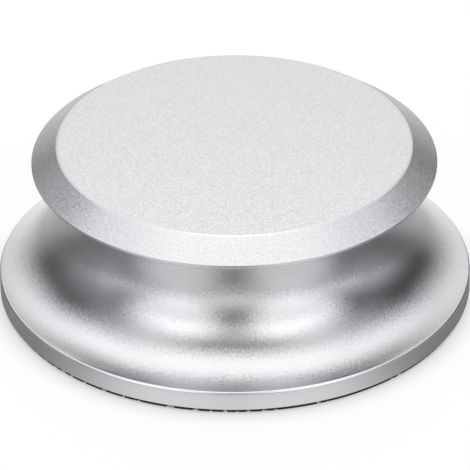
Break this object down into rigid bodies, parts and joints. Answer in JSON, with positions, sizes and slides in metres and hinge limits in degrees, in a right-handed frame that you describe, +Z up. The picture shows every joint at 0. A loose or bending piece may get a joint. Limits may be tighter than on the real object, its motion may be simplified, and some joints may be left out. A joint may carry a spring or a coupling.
{
  "type": "record weight",
  "caption": "Turned aluminium record weight with a bevelled finger knob, a hollow-curved waist, a flanged base on a felt pad and a blind spindle bore.",
  "frame": {"origin": "centre of the pad's underside, where the spindle axis meets the record", "axes": "+Z up along the spindle axis, towards the knob's flat top; X and Y are equal, because the part is round"},
  "size_m": [0.08, 0.08, 0.028],
  "materials": {
    "blasted_aluminium": "bead-blasted and anodised, clear satin silver",
    "black_felt": "pressed felt, matt black"
  },
  "bodies": {
    "root": {"weight_body": "blasted_aluminium", "felt_pad": "black_felt"}
  },
  "joints": []
}
